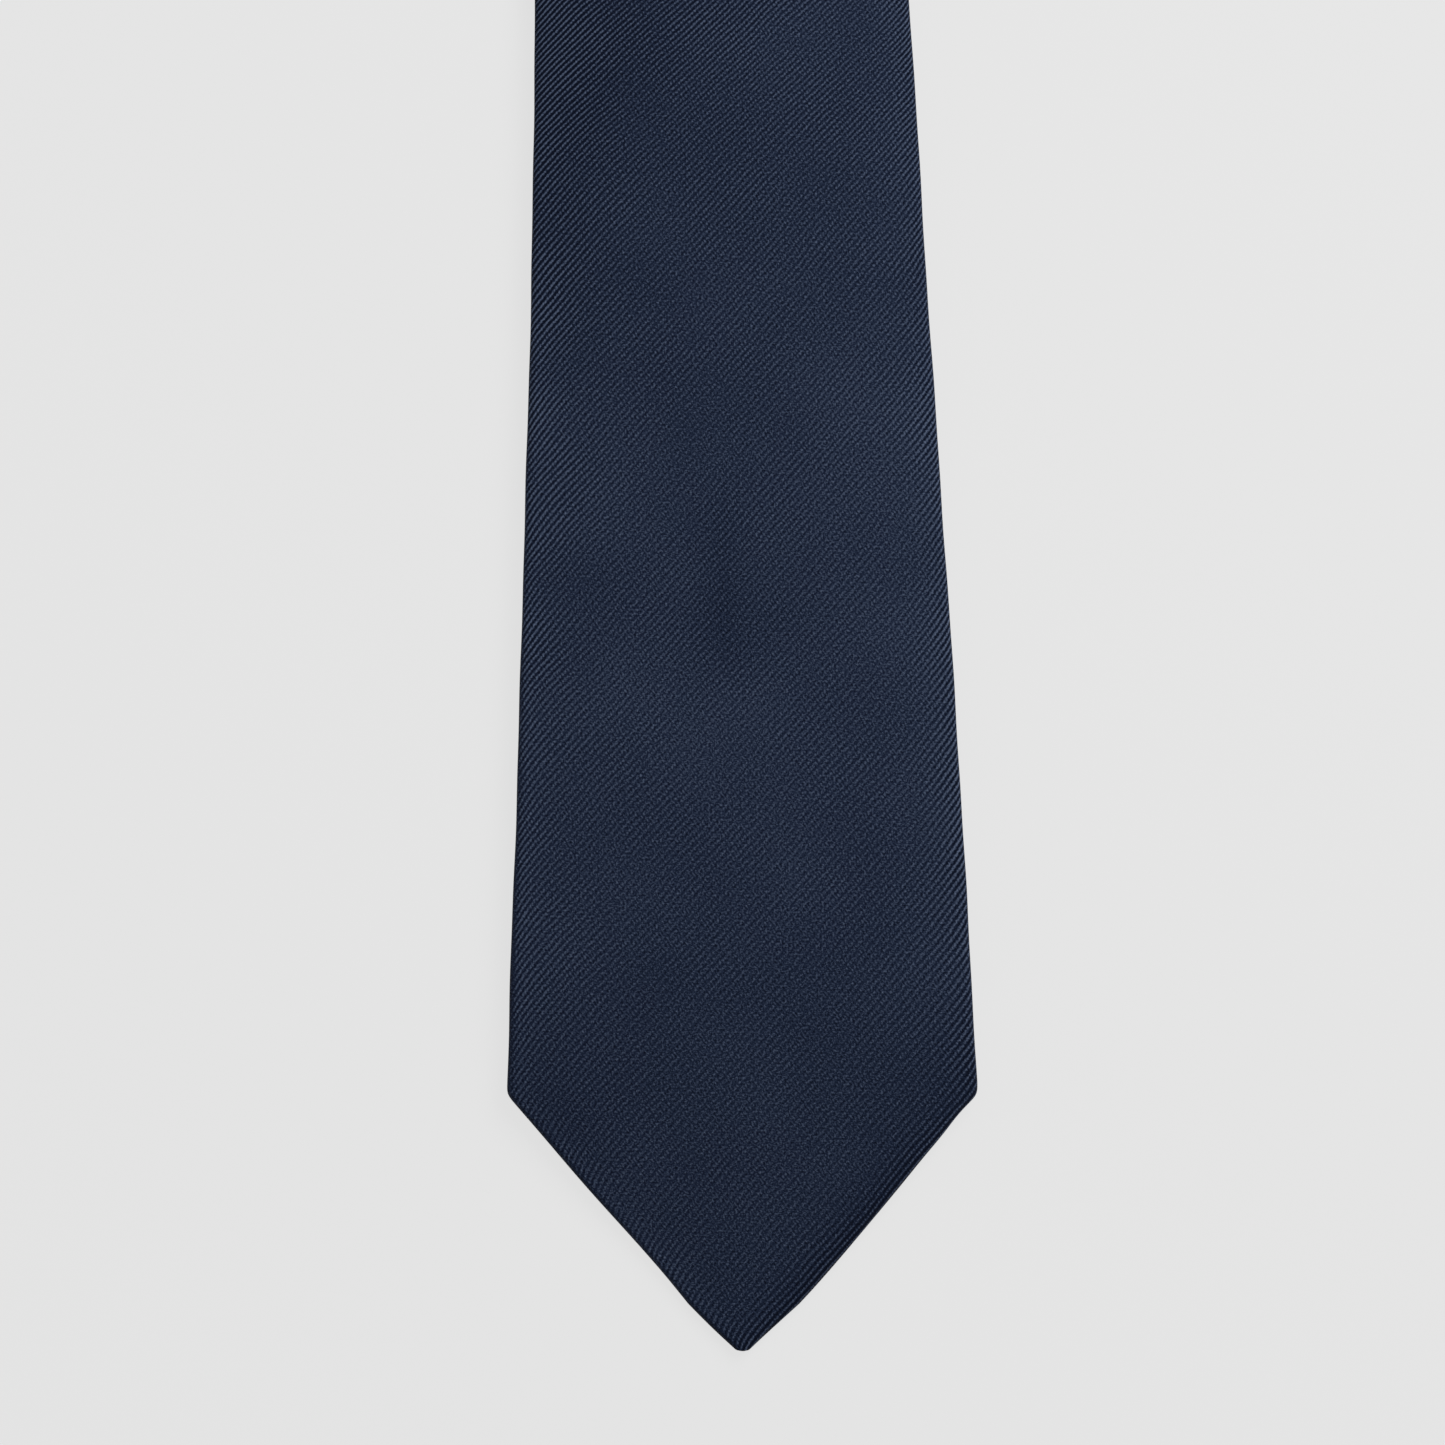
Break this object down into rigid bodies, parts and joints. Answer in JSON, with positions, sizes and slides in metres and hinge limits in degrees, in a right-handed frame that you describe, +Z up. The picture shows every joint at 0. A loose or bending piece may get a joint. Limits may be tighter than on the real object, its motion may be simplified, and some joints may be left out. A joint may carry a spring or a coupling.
{
  "type": "necktie",
  "caption": "Pointed-blade twill necktie folded at the neck and laid flat, with lined points, a back seam and a keeper loop.",
  "frame": {"origin": "centre of the folded tie's bounding box, on the surface that the tail lies on", "axes": "+Y from the blade's tip to the neck fold, +X to the wearer's left as the front of the blade is seen, +Z up from the table"},
  "size_m": [0.08, 0.7646, 0.009],
  "materials": {
    "twill": "navy silk twill with a fine diagonal rib, low satin sheen",
    "lining": "smooth navy tipping cloth, semi-matte",
    "interlining": "brushed off-white wool blend canvas, matte",
    "thread": "navy silk sewing thread, twisted",
    "label": "plain white woven tape, matte"
  },
  "bodies": {
    "tail": {"neck_shell_rear": "twill", "neck_interlining_rear": "interlining", "tail_shell": "twill", "tail_interlining": "interlining", "tail_tipping": "lining", "tail_bar_tack": "thread", "rear_slip_stitch": "thread"},
    "front_blade": {"blade_shell": "twill", "blade_interlining": "interlining", "keeper_loop": "twill", "care_label": "label", "front_slip_stitch": "thread", "neck_shell_front": "twill", "neck_interlining_front": "interlining", "neck_turn_shell": "twill", "neck_turn_interlining": "interlining"},
    "blade_point": {"blade_point_shell": "twill", "blade_point_interlining": "interlining", "blade_tipping": "lining", "blade_bar_tack": "thread", "blade_turn_shell": "twill", "blade_turn_interlining": "interlining"}
  },
  "joints": [
    {"name": "neck_fold", "type": "hinge", "parent": "tail", "child": "front_blade", "pos_m": [0, 0.38095, 0.0045], "axis": [-1, 0, 0], "range_deg": [0, 180], "deforming": ["neck_turn_shell", "neck_turn_interlining"]},
    {"name": "blade_turn_back", "type": "hinge", "parent": "front_blade", "child": "blade_point", "pos_m": [0, -0.28225, 0.0074], "axis": [-1, 0, 0], "range_deg": [0, 175], "deforming": ["blade_turn_shell", "blade_turn_interlining"]}
  ]
}
